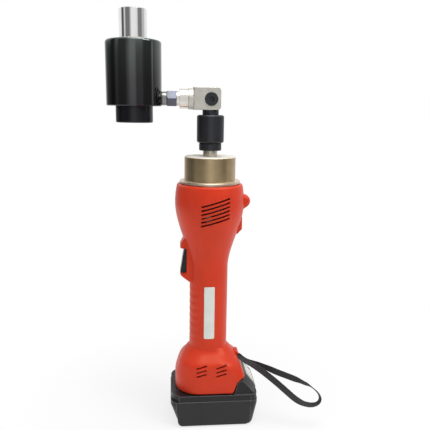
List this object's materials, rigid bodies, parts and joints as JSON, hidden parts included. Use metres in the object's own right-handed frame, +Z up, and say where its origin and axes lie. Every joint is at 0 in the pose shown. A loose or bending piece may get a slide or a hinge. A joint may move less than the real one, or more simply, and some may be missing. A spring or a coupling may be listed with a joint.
{
  "type": "cordless hydraulic hole punch",
  "caption": "Upright battery hydraulic hole punch: slim grip, pump head, quick coupler, elbow and an offset ram whose rod pulls a draw stud.",
  "frame": {"origin": "on the grip's axis, at the underside of the battery pack", "axes": "+Z up along the grip, -X towards the trigger and the ram, +Y away from the picture's viewer"},
  "size_m": [0.2668, 0.0945, 0.5102],
  "materials": {
    "red_shell": "satin",
    "black_shell": "satin",
    "label_blank": "satin",
    "nickel": "satin",
    "bright_steel": "polished",
    "spring_steel": "satin",
    "gear_steel": "ground",
    "screw_black": "black oxide",
    "motor_steel": "satin",
    "magnet": "matte",
    "carbon": "matte",
    "bladder_rubber": "matte",
    "circuit_green": "satin",
    "contact_brass": "plated",
    "cell_can": "wrapped",
    "lead_rubber": "matte",
    "webbing": "woven",
    "button_silver": "satin",
    "black_steel": "black oxide",
    "cast_grey": "satin",
    "ram_black": "gloss",
    "wiper_pale": "satin",
    "rod_chrome": "mirror"
  },
  "bodies": {
    "tool": {"casing_near": "red_shell", "casing_far": "red_shell", "casing_screws": "screw_black", "label_plate": "label_blank", "hydraulic_block": "nickel", "lock_ring": "bright_steel", "coupler_nipple": "bright_steel", "motor_can": "motor_steel", "motor_magnets": "magnet", "motor_end_cap": "black_shell", "motor_brushes": "carbon", "motor_bearings": "bright_steel", "ring_gear": "gear_steel", "pump_plunger": "bright_steel", "plunger_spring": "spring_steel", "valve_plugs": "gear_steel", "oil_bladder": "bladder_rubber", "release_valve": "gear_steel", "trigger_switch": "black_shell", "control_board": "circuit_green", "battery_terminals": "black_shell", "power_leads": "lead_rubber", "trigger_pin": "bright_steel", "lever_pin": "bright_steel", "wrist_strap": "webbing"},
    "trigger": {"trigger": "black_shell"},
    "retract_lever": {"retract_lever": "red_shell"},
    "battery": {"battery_tray": "black_shell", "battery_lid": "black_shell", "battery_cells": "cell_can", "cell_board": "circuit_green", "battery_contacts": "contact_brass", "tray_screws": "screw_black"},
    "latch": {"release_button": "button_silver", "latch_spring": "spring_steel"},
    "coupler": {"coupler_body": "black_steel", "coupler_balls": "bright_steel", "spring_stop_ring": "bright_steel", "elbow_block": "cast_grey", "elbow_plug": "black_steel"},
    "sleeve": {"coupler_sleeve": "black_steel", "sleeve_spring": "spring_steel"},
    "ram": {"swivel_stub": "bright_steel", "sealing_washer": "bright_steel", "hex_nut": "black_steel", "ram_cylinder": "ram_black", "ram_end_cap": "ram_black", "rod_wiper": "wiper_pale"},
    "rod": {"ram_rod": "rod_chrome", "piston_seal": "bladder_rubber", "ram_spring": "spring_steel"},
    "rotor": {"motor_armature": "motor_steel", "sun_gear": "gear_steel"},
    "carrier": {"planet_carrier": "gear_steel", "eccentric_bearing": "bright_steel"},
    "planet_1": {"planet_gear_1": "gear_steel"},
    "planet_2": {"planet_gear_2": "gear_steel"},
    "planet_3": {"planet_gear_3": "gear_steel"}
  },
  "joints": [
    {"name": "trigger_pull", "type": "hinge", "parent": "tool", "child": "trigger", "pos_m": [-0.0305, 0, 0.2326], "axis": [0, -1, 0], "range_deg": [0, 8], "stiffness_Nm_per_rad": 0.3, "springref_deg": -22.92},
    {"name": "retract_press", "type": "hinge", "parent": "tool", "child": "retract_lever", "pos_m": [0.0372, 0, 0.2646], "axis": [0, 1, 0], "range_deg": [0, 8], "stiffness_Nm_per_rad": 0.15, "springref_deg": -17.19},
    {"name": "battery_slide", "type": "slide", "parent": "tool", "child": "battery", "axis": [1, 0, 0], "range_m": [0, 0.05]},
    {"name": "latch_press", "type": "slide", "parent": "battery", "child": "latch", "axis": [0, 0, -1], "range_m": [0, 0.0022], "stiffness_N_per_m": 1500, "springref_m": -0.003, "deforming": ["latch_spring"]},
    {"name": "coupler_swivel", "type": "hinge", "parent": "tool", "child": "coupler", "pos_m": [0, 0, 0.3634], "axis": [0, 0, 1], "continuous": true},
    {"name": "sleeve_pull", "type": "slide", "parent": "coupler", "child": "sleeve", "axis": [0, 0, 1], "range_m": [0, 0.005], "stiffness_N_per_m": 1500, "springref_m": -0.006, "deforming": ["sleeve_spring"]},
    {"name": "ram_swivel", "type": "hinge", "parent": "coupler", "child": "ram", "pos_m": [-0.0226, 0, 0.4113], "axis": [1, 0, 0], "continuous": true},
    {"name": "rod_slide", "type": "slide", "parent": "ram", "child": "rod", "axis": [0, 0, 1], "range_m": [-0.024, 0], "stiffness_N_per_m": 2500, "springref_m": 0.02, "deforming": ["ram_spring"]},
    {"name": "rotor_spin", "type": "hinge", "parent": "tool", "child": "rotor", "pos_m": [0, 0, 0.23], "axis": [0, 0, 1], "continuous": true},
    {"name": "carrier_spin", "type": "hinge", "parent": "tool", "child": "carrier", "pos_m": [0, 0, 0.268], "axis": [0, 0, 1], "continuous": true},
    {"name": "planet_1_spin", "type": "hinge", "parent": "carrier", "child": "planet_1", "pos_m": [0.0108, 0, 0.262], "axis": [0, 0, 1], "continuous": true},
    {"name": "planet_2_spin", "type": "hinge", "parent": "carrier", "child": "planet_2", "pos_m": [-0.0054, 0.00935, 0.262], "axis": [0, 0, 1], "continuous": true},
    {"name": "planet_3_spin", "type": "hinge", "parent": "carrier", "child": "planet_3", "pos_m": [-0.0054, -0.00935, 0.262], "axis": [0, 0, 1], "continuous": true}
  ],
  "couplings": [
    {"joint": "carrier_spin", "follows": "rotor_spin", "ratio": 0.22222},
    {"joint": "planet_1_spin", "follows": "rotor_spin", "ratio": -0.62222},
    {"joint": "planet_2_spin", "follows": "rotor_spin", "ratio": -0.62222},
    {"joint": "planet_3_spin", "follows": "rotor_spin", "ratio": -0.62222}
  ]
}
